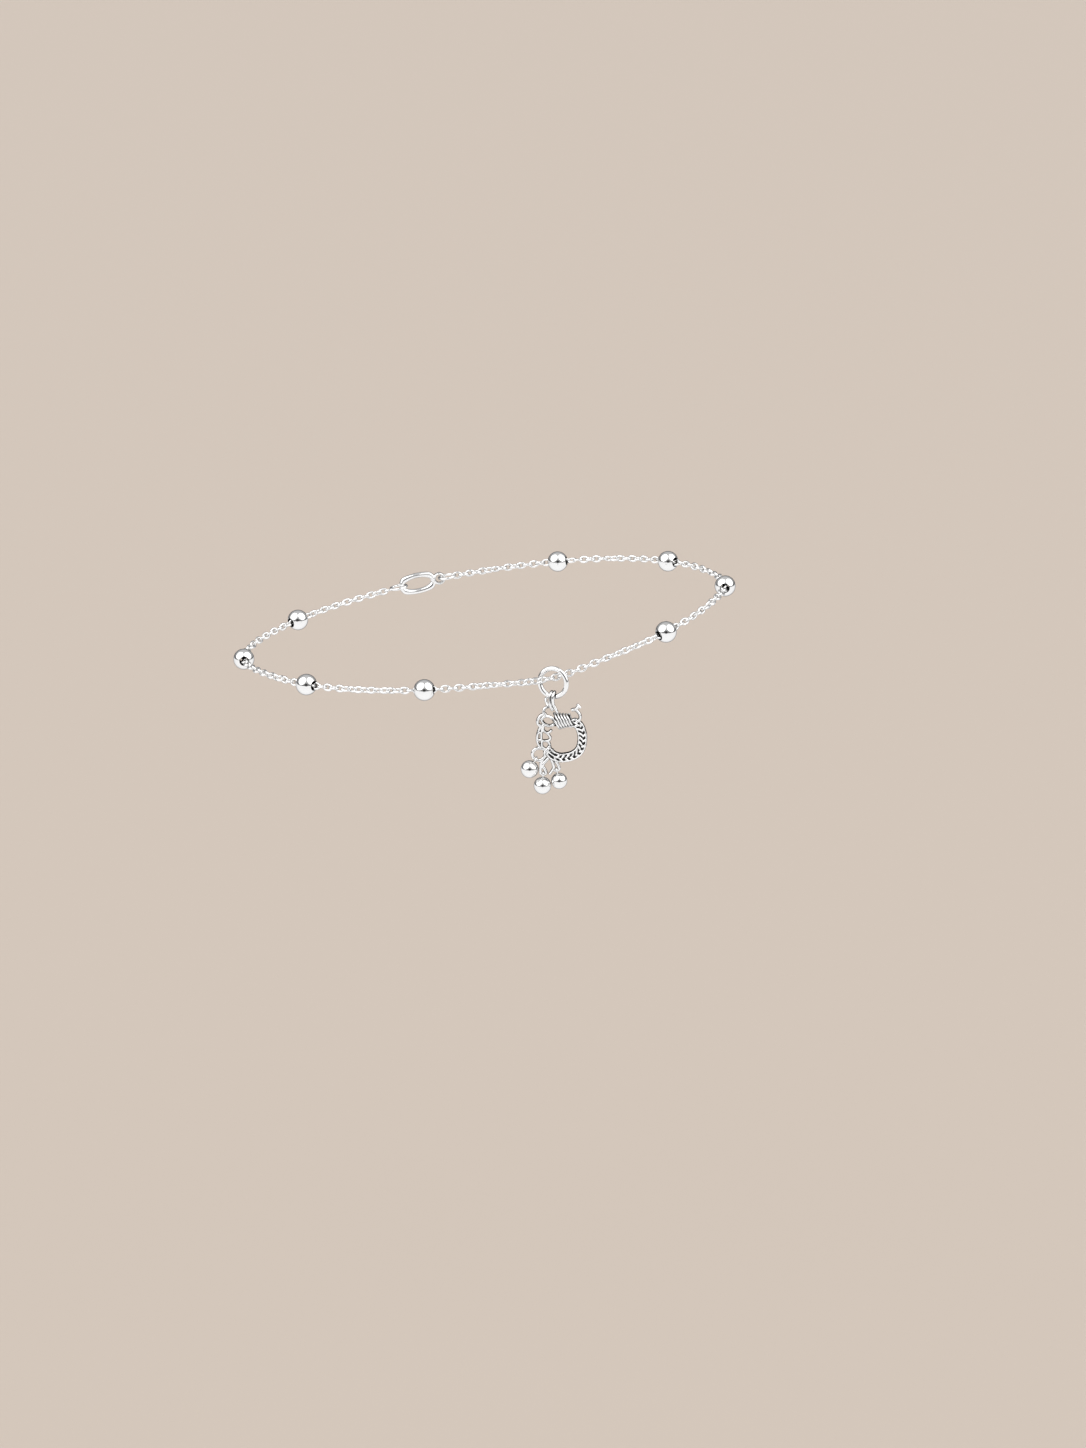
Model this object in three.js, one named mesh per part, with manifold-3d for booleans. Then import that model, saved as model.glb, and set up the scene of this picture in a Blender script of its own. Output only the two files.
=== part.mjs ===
// Payal anklet: a cable chain with drilled beads, a clasp at the back, and a jump ring at the
// front that carries a wire-wrapped hoop charm with three small ball drops.
// Millimetres, +Z up, +X to the right of the front view, -Y towards the front. The origin is
// the middle of the loop.
import * as THREE from 'three';
import { mergeVertices } from 'three/addons/utils/BufferGeometryUtils.js';
import Module from 'manifold-3d';

const wasm = await Module();
wasm.setup();

// Chain and beads
const chainWidth = 1.35;
const chainSides = 8;
const chainSteps = 80;
const beadDiameter = 4.0;
const beadBoreClearance = 0.2;
const beadSpacing = 24.1;
const beadsEachSide = 4;
const beadSides = 16;

// Clasp and the rings that join the chain to it
const claspLength = 9.4;
const claspHeight = 4.2;
const claspThickness = 1.2;
const claspRim = 1.0;
const claspEyeRadius = 1.25;
const claspEyeHole = 0.7;
const claspBevel = 0.25;
const endRingRadius = 1.6;
const endRingWire = 0.5;
const endRingClearance = 0.2;

// Jump ring that hangs on the chain
const ringOuter = 6.2;
const ringWire = 0.86;
const ringTurn = -23;
const ringDrop = 0.9;

// Wire that hooks on the jump ring and wraps the top of the hoop
const bailWire = 0.44;
const bailGap = 0.1;
const coilWire = 0.4;
const coilTurns = 6.25;
const coilLeftRadius = 1.46;
const coilRightRadius = 1.05;
const coilSlant = 0.46;
const coilEndBall = 0.57;

// Hoop charm, measured from the middle of its hole
const hoopRadius = 3.3;
const hoopRight = 1.88;
const hoopDrop = 8.3;
const hoopCoreWire = 1.24;
const bandWidth = 1.36;
const bandThickness = 1.1;
const grainLength = 1.3;
const grainWidth = 0.78;
const grainThickness = 1.5;
const grainRowOffset = 0.46;
const grainSlant = 32;
const grainPitch = 0.9;
const openworkWire = 0.46;
const openworkThickness = 0.9;
const dropLoopWire = 0.5;
const curlWire = 0.5;
const curlThickness = 0.6;
const curlCapLength = 1.0;
const curlCapBase = 0.3;
const curlCapTop = 0.24;

// Ball drops
const leftBallDiameter = 3.3;
const middleBallDiameter = 3.26;
const rightBallDiameter = 3.02;
const ballEyeRadius = 0.5;
const ballEyeWire = 0.3;
const ballEyeGap = 0.19;

// The chain's route, once round from the point where the jump ring hangs
const chainRoute = [
  [13.2, -29.7, -3.95], [23.1, -26.85, -0.86], [32.67, -21.92, 2.16], [40.0, -15.5, 4.9],
  [44.63, -8.02, 6.9], [46.2, 0, 7.4], [44.63, 8.02, 7.6], [40.0, 15.5, 7.9],
  [32.67, 21.92, 7.7], [23.1, 26.85, 6.85], [11.96, 29.94, 5.4], [0, 31.0, 3.6],
  [-11.96, 29.94, 1.6], [-23.1, 26.85, -0.6], [-32.67, 21.92, -2.7], [-40.0, 15.5, -4.6],
  [-44.63, 8.02, -6.0], [-46.2, 0, -6.7], [-44.63, -8.02, -6.75], [-40.0, -15.5, -6.9],
  [-32.67, -21.92, -7.15], [-23.1, -26.85, -6.9], [-11.96, -29.94, -6.26], [0, -31.0, -5.18],
];

// Middle line of the hoop's grained band, as shares of the hoop's radius from its hole's middle
const bandLine = [
  { right: 0.72, up: 1.0 }, { right: 0.84, up: 0.84 }, { right: 0.95, up: 0.6 },
  { right: 1.04, up: 0.28 }, { right: 1.06, up: -0.05 }, { right: 1.0, up: -0.37 },
  { right: 0.83, up: -0.68 }, { right: 0.56, up: -0.87 }, { right: 0.28, up: -0.96 },
  { right: -0.02, up: -0.97 }, { right: -0.32, up: -0.93 }, { right: -0.58, up: -0.82 },
  { right: -0.76, up: -0.64 },
];

// Core that runs inside the coil and joins the rosette to the band
const coreLine = [
  { right: -0.64, up: 1.13 }, { right: -0.3, up: 1.14 }, { right: 0.1, up: 1.17 },
  { right: 0.42, up: 1.18 }, { right: 0.68, up: 1.05 },
];

// Openwork on the left side: the wires of the rosette, the outer edge and the zigzag
const openworkWires = [
  // outer edge
  [[-1.3, 0.84], [-1.37, 0.64], [-1.46, 0.44], [-1.5, 0.23], [-1.45, 0.04], [-1.41, -0.12],
    [-1.36, -0.3]],
  // middle wire
  [[-1.12, 0.88], [-1.16, 0.62], [-1.25, 0.36], [-1.22, 0.12], [-1.18, -0.13], [-1.13, -0.37],
    [-0.84, -0.52]],
  [[-1.43, 0.5], [-1.22, 0.44]],
  [[-1.46, 0.1], [-1.22, 0.04]],
  // upper diamond and its tip
  [[-1.12, 0.84], [-0.98, 0.93], [-0.78, 0.92], [-0.66, 0.74], [-0.53, 0.64], [-0.66, 0.52],
    [-0.82, 0.42], [-0.98, 0.5], [-1.13, 0.66]],
  // bow between the upper and the lower tip
  [[-1.02, 0.52], [-0.86, 0.42], [-0.72, 0.24], [-0.64, 0.1], [-0.74, 0.0], [-0.9, 0.02],
    [-1.16, -0.02]],
  // lower diamond
  [[-0.78, 0.0], [-0.72, -0.14], [-0.84, -0.3], [-0.98, -0.42], [-1.12, -0.36]],
  // crossing wires at the lower left
  [[-0.7, -0.1], [-0.68, -0.34], [-0.56, -0.52], [-0.3, -0.72]],
  [[-0.66, -0.18], [-0.84, -0.42], [-0.98, -0.62], [-1.14, -0.78]],
  [[-1.36, -0.28], [-1.2, -0.36], [-1.02, -0.5], [-0.84, -0.72], [-0.6, -0.84]],
  // short end beside the loop of the right ball
  [[-0.53, -1.62], [-0.65, -1.83], [-0.78, -2.0]],
];

// Rosette at the upper left: its double outer bow, its base and the bow under its hole
const rosetteWires = [
  [[-1.02, 1.5], [-1.18, 1.52], [-1.34, 1.42], [-1.46, 1.24], [-1.48, 1.08], [-1.4, 0.94],
    [-1.24, 0.86]],
  [[-1.04, 1.46], [-1.12, 1.36], [-1.24, 1.22], [-1.14, 1.06], [-1.0, 0.94], [-0.84, 0.88],
    [-0.66, 0.9], [-0.56, 1.04]],
  [[-1.24, 0.86], [-1.1, 0.88], [-0.98, 0.93]],
  [[-1.3, 0.84], [-1.22, 0.9], [-1.12, 1.04]],
];

// Curl at the upper right, from its base on the band to its open end
const curlLine = [
  [0.62, 1.12], [0.82, 1.2], [0.94, 1.3], [0.97, 1.44], [0.9, 1.6], [0.76, 1.74], [0.6, 1.79],
  [0.46, 1.73],
];
const curlStem = [[0.75, 1.69], [0.87, 1.95]];
const curlCapTilt = 45;

// The three loops soldered under the band, each with the ball that it carries. The wire goes down
// the left points, round a bend whose lowest point is given, and up the right points.
const dropLoops = [
  { name: 'ball_left', diameter: leftBallDiameter, hang: -30.5,
    bottom: [-1.56, -1.14], bend: 0.353, bendHalfAngle: 110,
    left: [[-1.2, -0.5], [-1.4, -0.48]], right: [[-1.0, -0.68]] },
  { name: 'ball_middle', diameter: middleBallDiameter, hang: -3,
    bottom: [-1.13, -2.01], bend: 0.165, bendHalfAngle: 75,
    left: [[-0.9, -0.6], [-1.06, -0.86], [-1.18, -1.16], [-1.23, -1.5]],
    right: [[-1.02, -1.5], [-0.98, -1.18], [-0.84, -0.92], [-0.66, -0.78]] },
  { name: 'ball_right', diameter: rightBallDiameter, hang: 12,
    bottom: [-0.35, -1.79], bend: 0.165, bendHalfAngle: 75,
    left: [[-0.62, -0.86], [-0.56, -1.12], [-0.58, -1.4]],
    right: [[-0.26, -1.34], [-0.36, -1.1], [-0.44, -0.9]] },
];

// Materials
const silver = { color: 0xdfe1e4, roughness: 0.2, metalness: 1.0 };
const oxidisedSilver = { color: 0xc4c6ca, roughness: 0.32, metalness: 1.0 };

// Solids from three.js geometries

function toSolid(geometry) {
  const shell = geometry.clone();
  shell.deleteAttribute('normal');
  shell.deleteAttribute('uv');
  const welded = mergeVertices(shell);
  const mesh = new wasm.Mesh({
    numProp: 3,
    vertProperties: new Float32Array(welded.attributes.position.array),
    triVerts: new Uint32Array(welded.index.array),
  });
  return new wasm.Manifold(mesh);
}

function toGeometry(solid) {
  const mesh = solid.getMesh();
  const geometry = new THREE.BufferGeometry();
  geometry.setAttribute('position', new THREE.BufferAttribute(mesh.vertProperties, 3));
  geometry.setIndex(new THREE.BufferAttribute(mesh.triVerts, 1));
  geometry.computeVertexNormals();
  return geometry;
}

function joined(solids) {
  return solids.reduce((whole, solid) => whole.add(solid));
}

function circle(radius, sides) {
  const points = [];
  for (let i = 0; i < sides; i++) {
    const angle = ((i + 0.5) / sides) * 2 * Math.PI;
    points.push(new THREE.Vector2(radius * Math.cos(angle), radius * Math.sin(angle)));
  }
  return points;
}

function sweep(points, section, steps) {
  return new THREE.ExtrudeGeometry(new THREE.Shape(section), {
    steps, bevelEnabled: false, extrudePath: new THREE.CatmullRomCurve3(points),
  });
}

// A round wire through the points, with a step for every part of a span
function wire(points, diameter, sides = 6, stepsPerSpan = 2) {
  const steps = Math.round((points.length - 1) * stepsPerSpan);
  return toSolid(sweep(points, circle(diameter / 2, sides), steps));
}

function ball(diameter, centre, sides = 14) {
  const geometry = new THREE.SphereGeometry(diameter / 2, sides, Math.round(sides * 0.7));
  geometry.rotateX(Math.PI / 2);
  return toSolid(geometry.translate(centre.x, centre.y, centre.z));
}

function metalMesh(name, geometry, finish) {
  const mesh = new THREE.Mesh(geometry, new THREE.MeshStandardMaterial(finish));
  mesh.name = name;
  return mesh;
}

function facing(alongX, alongZ) {
  const x = alongX.clone().normalize();
  const y = new THREE.Vector3().crossVectors(alongZ, x).normalize();
  const z = new THREE.Vector3().crossVectors(x, y);
  return new THREE.Matrix4().makeBasis(x, y, z);
}

// Route of the chain

const up = new THREE.Vector3(0, 0, 1);
const route = new THREE.CatmullRomCurve3(
  chainRoute.map(([x, y, z]) => new THREE.Vector3(x, y, z)), true, 'centripetal');
route.arcLengthDivisions = 2000;
const routeLength = route.getLength();

function routeShare(distance) {
  return ((distance / routeLength) % 1 + 1) % 1;
}

function routePoint(distance) {
  return route.getPointAt(routeShare(distance));
}

function routeFrame(distance) {
  return facing(route.getTangentAt(routeShare(distance)), up).setPosition(routePoint(distance));
}

// Clasp: an oval body with a long window, and a small eye at one end

const claspEyeX = -claspLength / 2 + claspEyeRadius;
const claspBodyHalf = (claspLength - claspEyeRadius - claspEyeHole) / 2;
const claspBodyX = claspLength / 2 - claspBodyHalf;
const claspBack = routeLength / 2;

function ovalPlate(halfLength, halfHeight, holeHalfLength, holeHalfHeight, x) {
  const shape = new THREE.Shape();
  shape.absellipse(0, 0, halfLength - claspBevel, halfHeight - claspBevel, 0, 2 * Math.PI);
  const hole = new THREE.Path();
  hole.absellipse(0, 0, holeHalfLength + claspBevel, holeHalfHeight + claspBevel, 0, 2 * Math.PI);
  shape.holes.push(hole);
  const geometry = new THREE.ExtrudeGeometry(shape, {
    depth: claspThickness - 2 * claspBevel, curveSegments: 9, bevelSegments: 1,
    bevelSize: claspBevel, bevelThickness: claspBevel,
  });
  geometry.translate(0, 0, claspBevel - claspThickness / 2).rotateX(Math.PI / 2);
  return toSolid(geometry.translate(x, 0, 0));
}

function clasp() {
  const windowHalf = claspBodyHalf - claspRim;
  const body = ovalPlate(claspBodyHalf, claspHeight / 2, windowHalf,
    claspHeight / 2 - claspRim, claspBodyX);
  const eye = ovalPlate(claspEyeRadius, claspEyeRadius, claspEyeHole, claspEyeHole, claspEyeX);
  const mesh = metalMesh('clasp', toGeometry(body.add(eye)), silver);
  mesh.applyMatrix4(routeFrame(claspBack));
  return mesh;
}

// Chain: one tube along the route, with a round ring at each end that passes through the clasp

const eyeRingX = claspEyeX - endRingRadius;
const windowRingX = claspLength / 2 - claspRim - endRingWire / 2 - endRingClearance
  + endRingRadius;

function endRing(x) {
  const geometry = new THREE.TorusGeometry(endRingRadius, endRingWire / 2, 6, 16);
  return toSolid(geometry.translate(x, 0, 0).applyMatrix4(routeFrame(claspBack)));
}

function chain() {
  const first = claspBack + windowRingX + endRingRadius;
  const last = claspBack + eyeRingX - endRingRadius + routeLength;
  const points = [];
  for (let i = 0; i <= chainSteps; i++) {
    points.push(routePoint(first + ((last - first) * i) / chainSteps));
  }
  const tube = toSolid(sweep(points, circle(chainWidth / 2, chainSides), chainSteps));
  const whole = joined([tube, endRing(eyeRingX), endRing(windowRingX)]);
  return metalMesh('chain', toGeometry(whole), silver);
}

// Beads, each drilled for the chain

const beadBore = chainWidth / 2 + beadBoreClearance;

function beadProfile() {
  const radius = beadDiameter / 2;
  const mouth = Math.asin(beadBore / radius);
  const points = [];
  const arcs = 6;
  for (let i = 0; i <= arcs; i++) {
    const angle = mouth + ((Math.PI - 2 * mouth) * i) / arcs;
    points.push(new THREE.Vector2(radius * Math.sin(angle), -radius * Math.cos(angle)));
  }
  points.push(points[0].clone());
  return points;
}

function bead(name, distance) {
  const geometry = new THREE.LatheGeometry(beadProfile(), beadSides).rotateZ(-Math.PI / 2);
  const mesh = metalMesh(name, toGeometry(toSolid(geometry)), silver);
  mesh.applyMatrix4(routeFrame(distance));
  return mesh;
}

function beads() {
  const group = new THREE.Group();
  for (let place = 1; place <= beadsEachSide; place++) {
    group.add(bead(`bead_right_${place}`, place * beadSpacing));
    group.add(bead(`bead_left_${place}`, -place * beadSpacing));
  }
  return group;
}

// Jump ring, hanging on the chain below the first point of its route

const ringRadius = (ringOuter - ringWire) / 2;
const ringCentre = routePoint(0).add(new THREE.Vector3(0, 0, -ringDrop));

function jumpRing() {
  const geometry = new THREE.TorusGeometry(ringRadius, ringWire / 2, 10, 32);
  geometry.rotateX(Math.PI / 2);
  const mesh = metalMesh('jump_ring', geometry, silver);
  mesh.rotation.z = THREE.MathUtils.degToRad(ringTurn);
  return mesh;
}

// Charm: everything below is measured from the middle of the jump ring

function hoopPoint(right, upward, depth = 0) {
  return new THREE.Vector3(
    hoopRight + right * hoopRadius, depth, -ringRadius - hoopDrop + upward * hoopRadius);
}

// A point beside the jump ring's lowest stretch, by its distance along, across and above it
function ringPoint(along, across, above) {
  const turned = new THREE.Vector3(along, across, -ringRadius + above);
  return turned.applyAxisAngle(up, THREE.MathUtils.degToRad(ringTurn));
}

const coilStart = hoopPoint(-0.52, 1.14);
const coilEnd = hoopPoint(0.25, 1.19);

function coilPoint(turn) {
  const share = turn / coilTurns;
  const radius = THREE.MathUtils.lerp(coilLeftRadius, coilRightRadius, share);
  const angle = turn * 2 * Math.PI;
  const axis = coilStart.clone().lerp(coilEnd, share);
  return axis.add(new THREE.Vector3(
    coilSlant * Math.sin(angle), -radius * Math.cos(angle), -radius * Math.sin(angle)));
}

function coil() {
  const stepsPerTurn = 12;
  const steps = Math.round(coilTurns * stepsPerTurn);
  const points = [];
  for (let i = 0; i <= steps; i++) {
    points.push(coilPoint((i / steps) * coilTurns));
  }
  return wire(points, coilWire, 6, 1);
}

function bail() {
  const clear = (ringWire + bailWire) / 2 + bailGap;
  const hook = [
    coilPoint(1.8), hoopPoint(-0.36, 1.86, -clear), hoopPoint(-0.52, 2.2, -clear),
    ringPoint(0.2, -clear, -0.2), ringPoint(0.3, -0.8 * clear, 0.6 * clear),
    ringPoint(0.1, 0, 1.15 * clear), ringPoint(-0.3, 0.8 * clear, 0.7 * clear),
    ringPoint(-0.8, 1.1 * clear, 0), hoopPoint(-0.94, 2.24, 0.4),
    hoopPoint(-0.86, 1.98, 0), hoopPoint(-1.0, 1.88, -0.3), hoopPoint(-1.06, 1.75, -0.4),
    hoopPoint(-0.98, 1.6, -0.4), hoopPoint(-0.85, 1.48, -0.5), hoopPoint(-0.7, 1.42, -1.0),
    coilPoint(0),
  ];
  const secondStrand = [
    hoopPoint(-0.6, 1.83, -clear), hoopPoint(-0.74, 2.14, -clear),
    ringPoint(-0.25, -1.1 * clear, -0.1), ringPoint(-0.12, -0.8 * clear, 0.6 * clear),
    ringPoint(0.05, 0, 1.15 * clear),
  ];
  const end = coilPoint(coilTurns);
  const whole = joined([
    wire(hook, bailWire, 6, 3), wire(secondStrand, bailWire, 6, 3), coil(),
    ball(coilEndBall, end, 6),
  ]);
  return metalMesh('bail', toGeometry(whole), oxidisedSilver);
}

// Hoop: a grained band, openwork on the left, a rosette, a curl and the loops for the drops

// A cast wire, which is deeper from front to back than it is wide
function castWire(line, width, thickness, stepsPerSpan = 2) {
  const points = line.map(([right, upward]) => hoopPoint(right, upward));
  const steps = (points.length - 1) * stepsPerSpan;
  const geometry = sweep(points, circle(width / 2, 6), steps);
  return toSolid(geometry.scale(1, thickness / width, 1));
}

function band() {
  const points = bandLine.map((row) => hoopPoint(row.right, row.up));
  const geometry = sweep(points, circle(bandWidth / 2, 8), 2 * (points.length - 1));
  return toSolid(geometry.scale(1, bandThickness / bandWidth, 1));
}

function grains() {
  const curve = new THREE.CatmullRomCurve3(
    bandLine.map((row) => hoopPoint(row.right, row.up)));
  const count = Math.floor(curve.getLength() / grainPitch);
  const solids = [];
  for (const row of [-1, 1]) {
    for (let i = 0; i < count; i++) {
      const share = (i + 0.75 + 0.25 * row) / (count + 0.5);
      const tangent = curve.getTangentAt(share);
      const outward = new THREE.Vector3(-tangent.z, 0, tangent.x);
      const place = curve.getPointAt(share).addScaledVector(outward, row * grainRowOffset);
      const turn = Math.atan2(-tangent.z, tangent.x)
        + row * THREE.MathUtils.degToRad(grainSlant);
      const geometry = new THREE.SphereGeometry(0.5, 8, 6);
      geometry.rotateX(Math.PI / 2);
      geometry.scale(grainLength, grainThickness, grainWidth).rotateY(turn);
      solids.push(toSolid(geometry.translate(place.x, place.y, place.z)));
    }
  }
  return solids;
}

function curl() {
  const cap = new THREE.CylinderGeometry(curlCapTop, curlCapBase, curlCapLength, 8);
  cap.rotateZ(Math.PI / 2).rotateY(THREE.MathUtils.degToRad(curlCapTilt));
  const capPlace = hoopPoint(...curlStem[1]);
  return [
    castWire(curlLine, curlWire, curlThickness),
    castWire(curlStem, openworkWire, openworkWire, 1),
    toSolid(cap.translate(capPlace.x, capPlace.y, capPlace.z)),
  ];
}

function hangDirection(loop) {
  const hang = THREE.MathUtils.degToRad(loop.hang);
  return new THREE.Vector3(Math.sin(hang), 0, -Math.cos(hang));
}

function loopPoints(loop) {
  const down = hangDirection(loop);
  const bend = loop.bend * hoopRadius;
  const centre = hoopPoint(...loop.bottom).addScaledVector(down, -bend);
  const arcSteps = Math.ceil(loop.bendHalfAngle / 30);
  const arc = [];
  for (let i = -arcSteps; i <= arcSteps; i++) {
    const angle = THREE.MathUtils.degToRad((loop.bendHalfAngle * i) / arcSteps);
    const spoke = down.clone().applyAxisAngle(new THREE.Vector3(0, 1, 0), -angle);
    arc.push(centre.clone().addScaledVector(spoke, bend));
  }
  const left = loop.left.map((point) => hoopPoint(...point));
  const right = loop.right.map((point) => hoopPoint(...point));
  return [...left, ...arc, ...right];
}

function hoop() {
  const core = coreLine.map((row) => hoopPoint(row.right, row.up));
  const whole = joined([
    band(), ...grains(), wire(core, hoopCoreWire, 10, 3),
    ...openworkWires.map((line) => castWire(line, openworkWire, openworkThickness)),
    ...rosetteWires.map((line) => castWire(line, openworkWire, openworkThickness)),
    ...dropLoops.map((loop) => wire(loopPoints(loop), dropLoopWire, 6, 2)),
    ...curl(),
  ]);
  return metalMesh('hoop', toGeometry(whole), oxidisedSilver);
}

// Ball drops: each ball has a soldered eye that passes round the wire of its loop

function ballDrop(loop) {
  const down = hangDirection(loop);
  const eye = new THREE.TorusGeometry(ballEyeRadius, ballEyeWire / 2, 6, 12);
  eye.rotateY(Math.PI / 2 - THREE.MathUtils.degToRad(loop.hang));
  const reach = dropLoopWire / 2 + ballEyeGap + loop.diameter / 2;
  const whole = joined([toSolid(eye), ball(loop.diameter, down.clone().multiplyScalar(reach))]);
  const mesh = metalMesh(loop.name, toGeometry(whole), silver);
  mesh.position.copy(hoopPoint(...loop.bottom));
  return mesh;
}

function charm() {
  const group = new THREE.Group();
  group.add(bail(), hoop(), ...dropLoops.map(ballDrop));
  return group;
}

// The whole anklet

const pendant = new THREE.Group();
pendant.position.copy(ringCentre);
pendant.add(jumpRing(), charm());

const anklet = new THREE.Group();
anklet.add(chain(), beads(), clasp(), pendant);

export default anklet;
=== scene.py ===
import math
import random

import bmesh
import bpy
import numpy as np
from mathutils import Matrix, Vector


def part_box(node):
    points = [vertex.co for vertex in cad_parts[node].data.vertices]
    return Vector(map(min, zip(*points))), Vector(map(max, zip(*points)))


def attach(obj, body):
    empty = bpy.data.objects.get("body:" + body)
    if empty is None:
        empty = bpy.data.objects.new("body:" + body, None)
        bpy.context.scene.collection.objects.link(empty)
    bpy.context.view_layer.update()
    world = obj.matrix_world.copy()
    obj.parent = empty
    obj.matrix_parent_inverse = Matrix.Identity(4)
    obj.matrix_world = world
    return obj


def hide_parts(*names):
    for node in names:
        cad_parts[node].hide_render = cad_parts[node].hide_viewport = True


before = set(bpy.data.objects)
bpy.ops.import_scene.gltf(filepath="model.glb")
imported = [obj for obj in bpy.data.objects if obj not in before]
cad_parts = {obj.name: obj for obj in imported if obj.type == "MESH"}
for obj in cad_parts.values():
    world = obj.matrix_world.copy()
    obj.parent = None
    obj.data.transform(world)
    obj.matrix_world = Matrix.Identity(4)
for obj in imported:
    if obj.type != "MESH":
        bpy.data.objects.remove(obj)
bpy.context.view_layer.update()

# Shapes are made in millimetres and scaled to metres when a piece is finished
mm = 0.001

# Camera: the photo's framing, as seen from the front and a little above
cameraSetup = {
    "imageWidth": 1086,
    "imageHeight": 1448,
    "mmPerPixel": 0.192,  # at the middle of the loop
    "distance": 800.0,
    "elevation": 14.0,
    "loopMiddleX": 484.0,  # where the middle of the loop is in the picture
    "loopMiddleY": 622.0,
    "sensorHeight": 36.0,
    "clipStart": 0.01,
}


def addCamera(setup):
    pixelsPerUnit = setup["distance"] / setup["mmPerPixel"]
    tilt = math.radians(setup["elevation"])
    forward = Vector((0, math.cos(tilt), -math.sin(tilt)))
    upward = Vector((0, math.sin(tilt), math.cos(tilt)))
    right = (setup["loopMiddleX"] - setup["imageWidth"] / 2) * setup["mmPerPixel"]
    above = (setup["imageHeight"] / 2 - setup["loopMiddleY"]) * setup["mmPerPixel"]
    place = -setup["distance"] * forward - right * Vector((1, 0, 0)) - above * upward
    data = bpy.data.cameras.new("camera")
    data.sensor_fit = "VERTICAL"
    data.sensor_height = setup["sensorHeight"]
    data.lens = setup["sensorHeight"] * pixelsPerUnit / setup["imageHeight"]
    data.clip_start = setup["clipStart"]
    camera = bpy.data.objects.new("camera", data)
    camera.location = place * mm
    camera.rotation_euler = (math.radians(90 - setup["elevation"]), 0, 0)
    bpy.context.scene.collection.objects.link(camera)
    bpy.context.scene.camera = camera


addCamera(cameraSetup)
print("camera placed")

# Route of the chain, once round from where the jump ring hangs
chainRoute = [
    (13.2, -29.7, -3.95), (23.1, -26.85, -0.86), (32.67, -21.92, 2.16), (40.0, -15.5, 4.9),
    (44.63, -8.02, 6.9), (46.2, 0, 7.4), (44.63, 8.02, 7.6), (40.0, 15.5, 7.9),
    (32.67, 21.92, 7.7), (23.1, 26.85, 6.85), (11.96, 29.94, 5.4), (0, 31.0, 3.6),
    (-11.96, 29.94, 1.6), (-23.1, 26.85, -0.6), (-32.67, 21.92, -2.7), (-40.0, 15.5, -4.6),
    (-44.63, 8.02, -6.0), (-46.2, 0, -6.7), (-44.63, -8.02, -6.75), (-40.0, -15.5, -6.9),
    (-32.67, -21.92, -7.15), (-23.1, -26.85, -6.9), (-11.96, -29.94, -6.26), (0, -31.0, -5.18),
]


def curvePoint(points, place, closed):
    # A smooth curve through the points, with spans weighted by the root of their length
    count = len(points)
    index = min(int(place), count - 1 if closed else count - 2)
    share = place - index
    p1 = points[index]
    p2 = points[(index + 1) % count]
    p0 = points[index - 1] if closed or index > 0 else 2 * p1 - p2
    p3 = points[(index + 2) % count] if closed or index + 2 < count else 2 * p2 - p1
    d0, d1, d2 = (math.sqrt((b - a).length) for a, b in ((p0, p1), (p1, p2), (p2, p3)))
    start = ((p1 - p0) / d0 - (p2 - p0) / (d0 + d1) + (p2 - p1) / d1) * d1
    end = ((p2 - p1) / d1 - (p3 - p1) / (d1 + d2) + (p3 - p2) / d2) * d1
    a = 2 * share**3 - 3 * share**2 + 1
    b = share**3 - 2 * share**2 + share
    c = share**3 - share**2
    return a * p1 + b * start + (1 - a) * p2 + c * end


class Route:
    # A curve that can be read at a distance along it

    def __init__(self, points, closed=False, fineness=40):
        points = [Vector(p) for p in points]
        spans = len(points) if closed else len(points) - 1
        self.closed = closed
        self.dense = [curvePoint(points, i / fineness, closed) for i in range(spans * fineness)]
        self.dense.append(points[0] if closed else points[-1])
        self.reach = [0.0]
        for a, b in zip(self.dense, self.dense[1:]):
            self.reach.append(self.reach[-1] + (b - a).length)
        self.length = self.reach[-1]

    def at(self, distance):
        if self.closed:
            distance %= self.length
        distance = min(max(distance, 0.0), self.length)
        i = int(np.searchsorted(self.reach, distance, side="right")) - 1
        i = min(i, len(self.dense) - 2)
        span = self.reach[i + 1] - self.reach[i]
        return self.dense[i].lerp(self.dense[i + 1], (distance - self.reach[i]) / span)

    def tangent(self, distance, step=0.02):
        return (self.at(distance + step) - self.at(distance - step)).normalized()

    def evenly(self, count):
        return [self.at(self.length * i / count) for i in range(count + 1)]


def facing(alongX, alongZ, place):
    x = alongX.normalized()
    y = alongZ.cross(x).normalized()
    z = x.cross(y)
    axes = Matrix((x, y, z)).transposed().to_4x4()
    return Matrix.Translation(place) @ axes


route = Route(chainRoute, closed=True)
upward = Vector((0, 0, 1))


def towards(turn, height):
    # The direction of a lamp or a card, in degrees to the right and up from the front
    turn, height = math.radians(turn), math.radians(height)
    return Vector((math.sin(turn) * math.cos(height), -math.cos(turn) * math.cos(height),
                   math.sin(height)))


def routeFrame(distance):
    return facing(route.tangent(distance), upward, route.at(distance))


# Materials


def newMaterial(name):
    material = bpy.data.materials.new(name)
    material.use_nodes = True
    nodes = material.node_tree.nodes
    return material, nodes, material.node_tree.links, nodes["Principled BSDF"]


def addNode(nodes, kind, **values):
    node = nodes.new(kind)
    for name, value in values.items():
        if hasattr(node, name):
            setattr(node, name, value)
        else:
            node.inputs[name.replace("_", " ")].default_value = value
    return node


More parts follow.
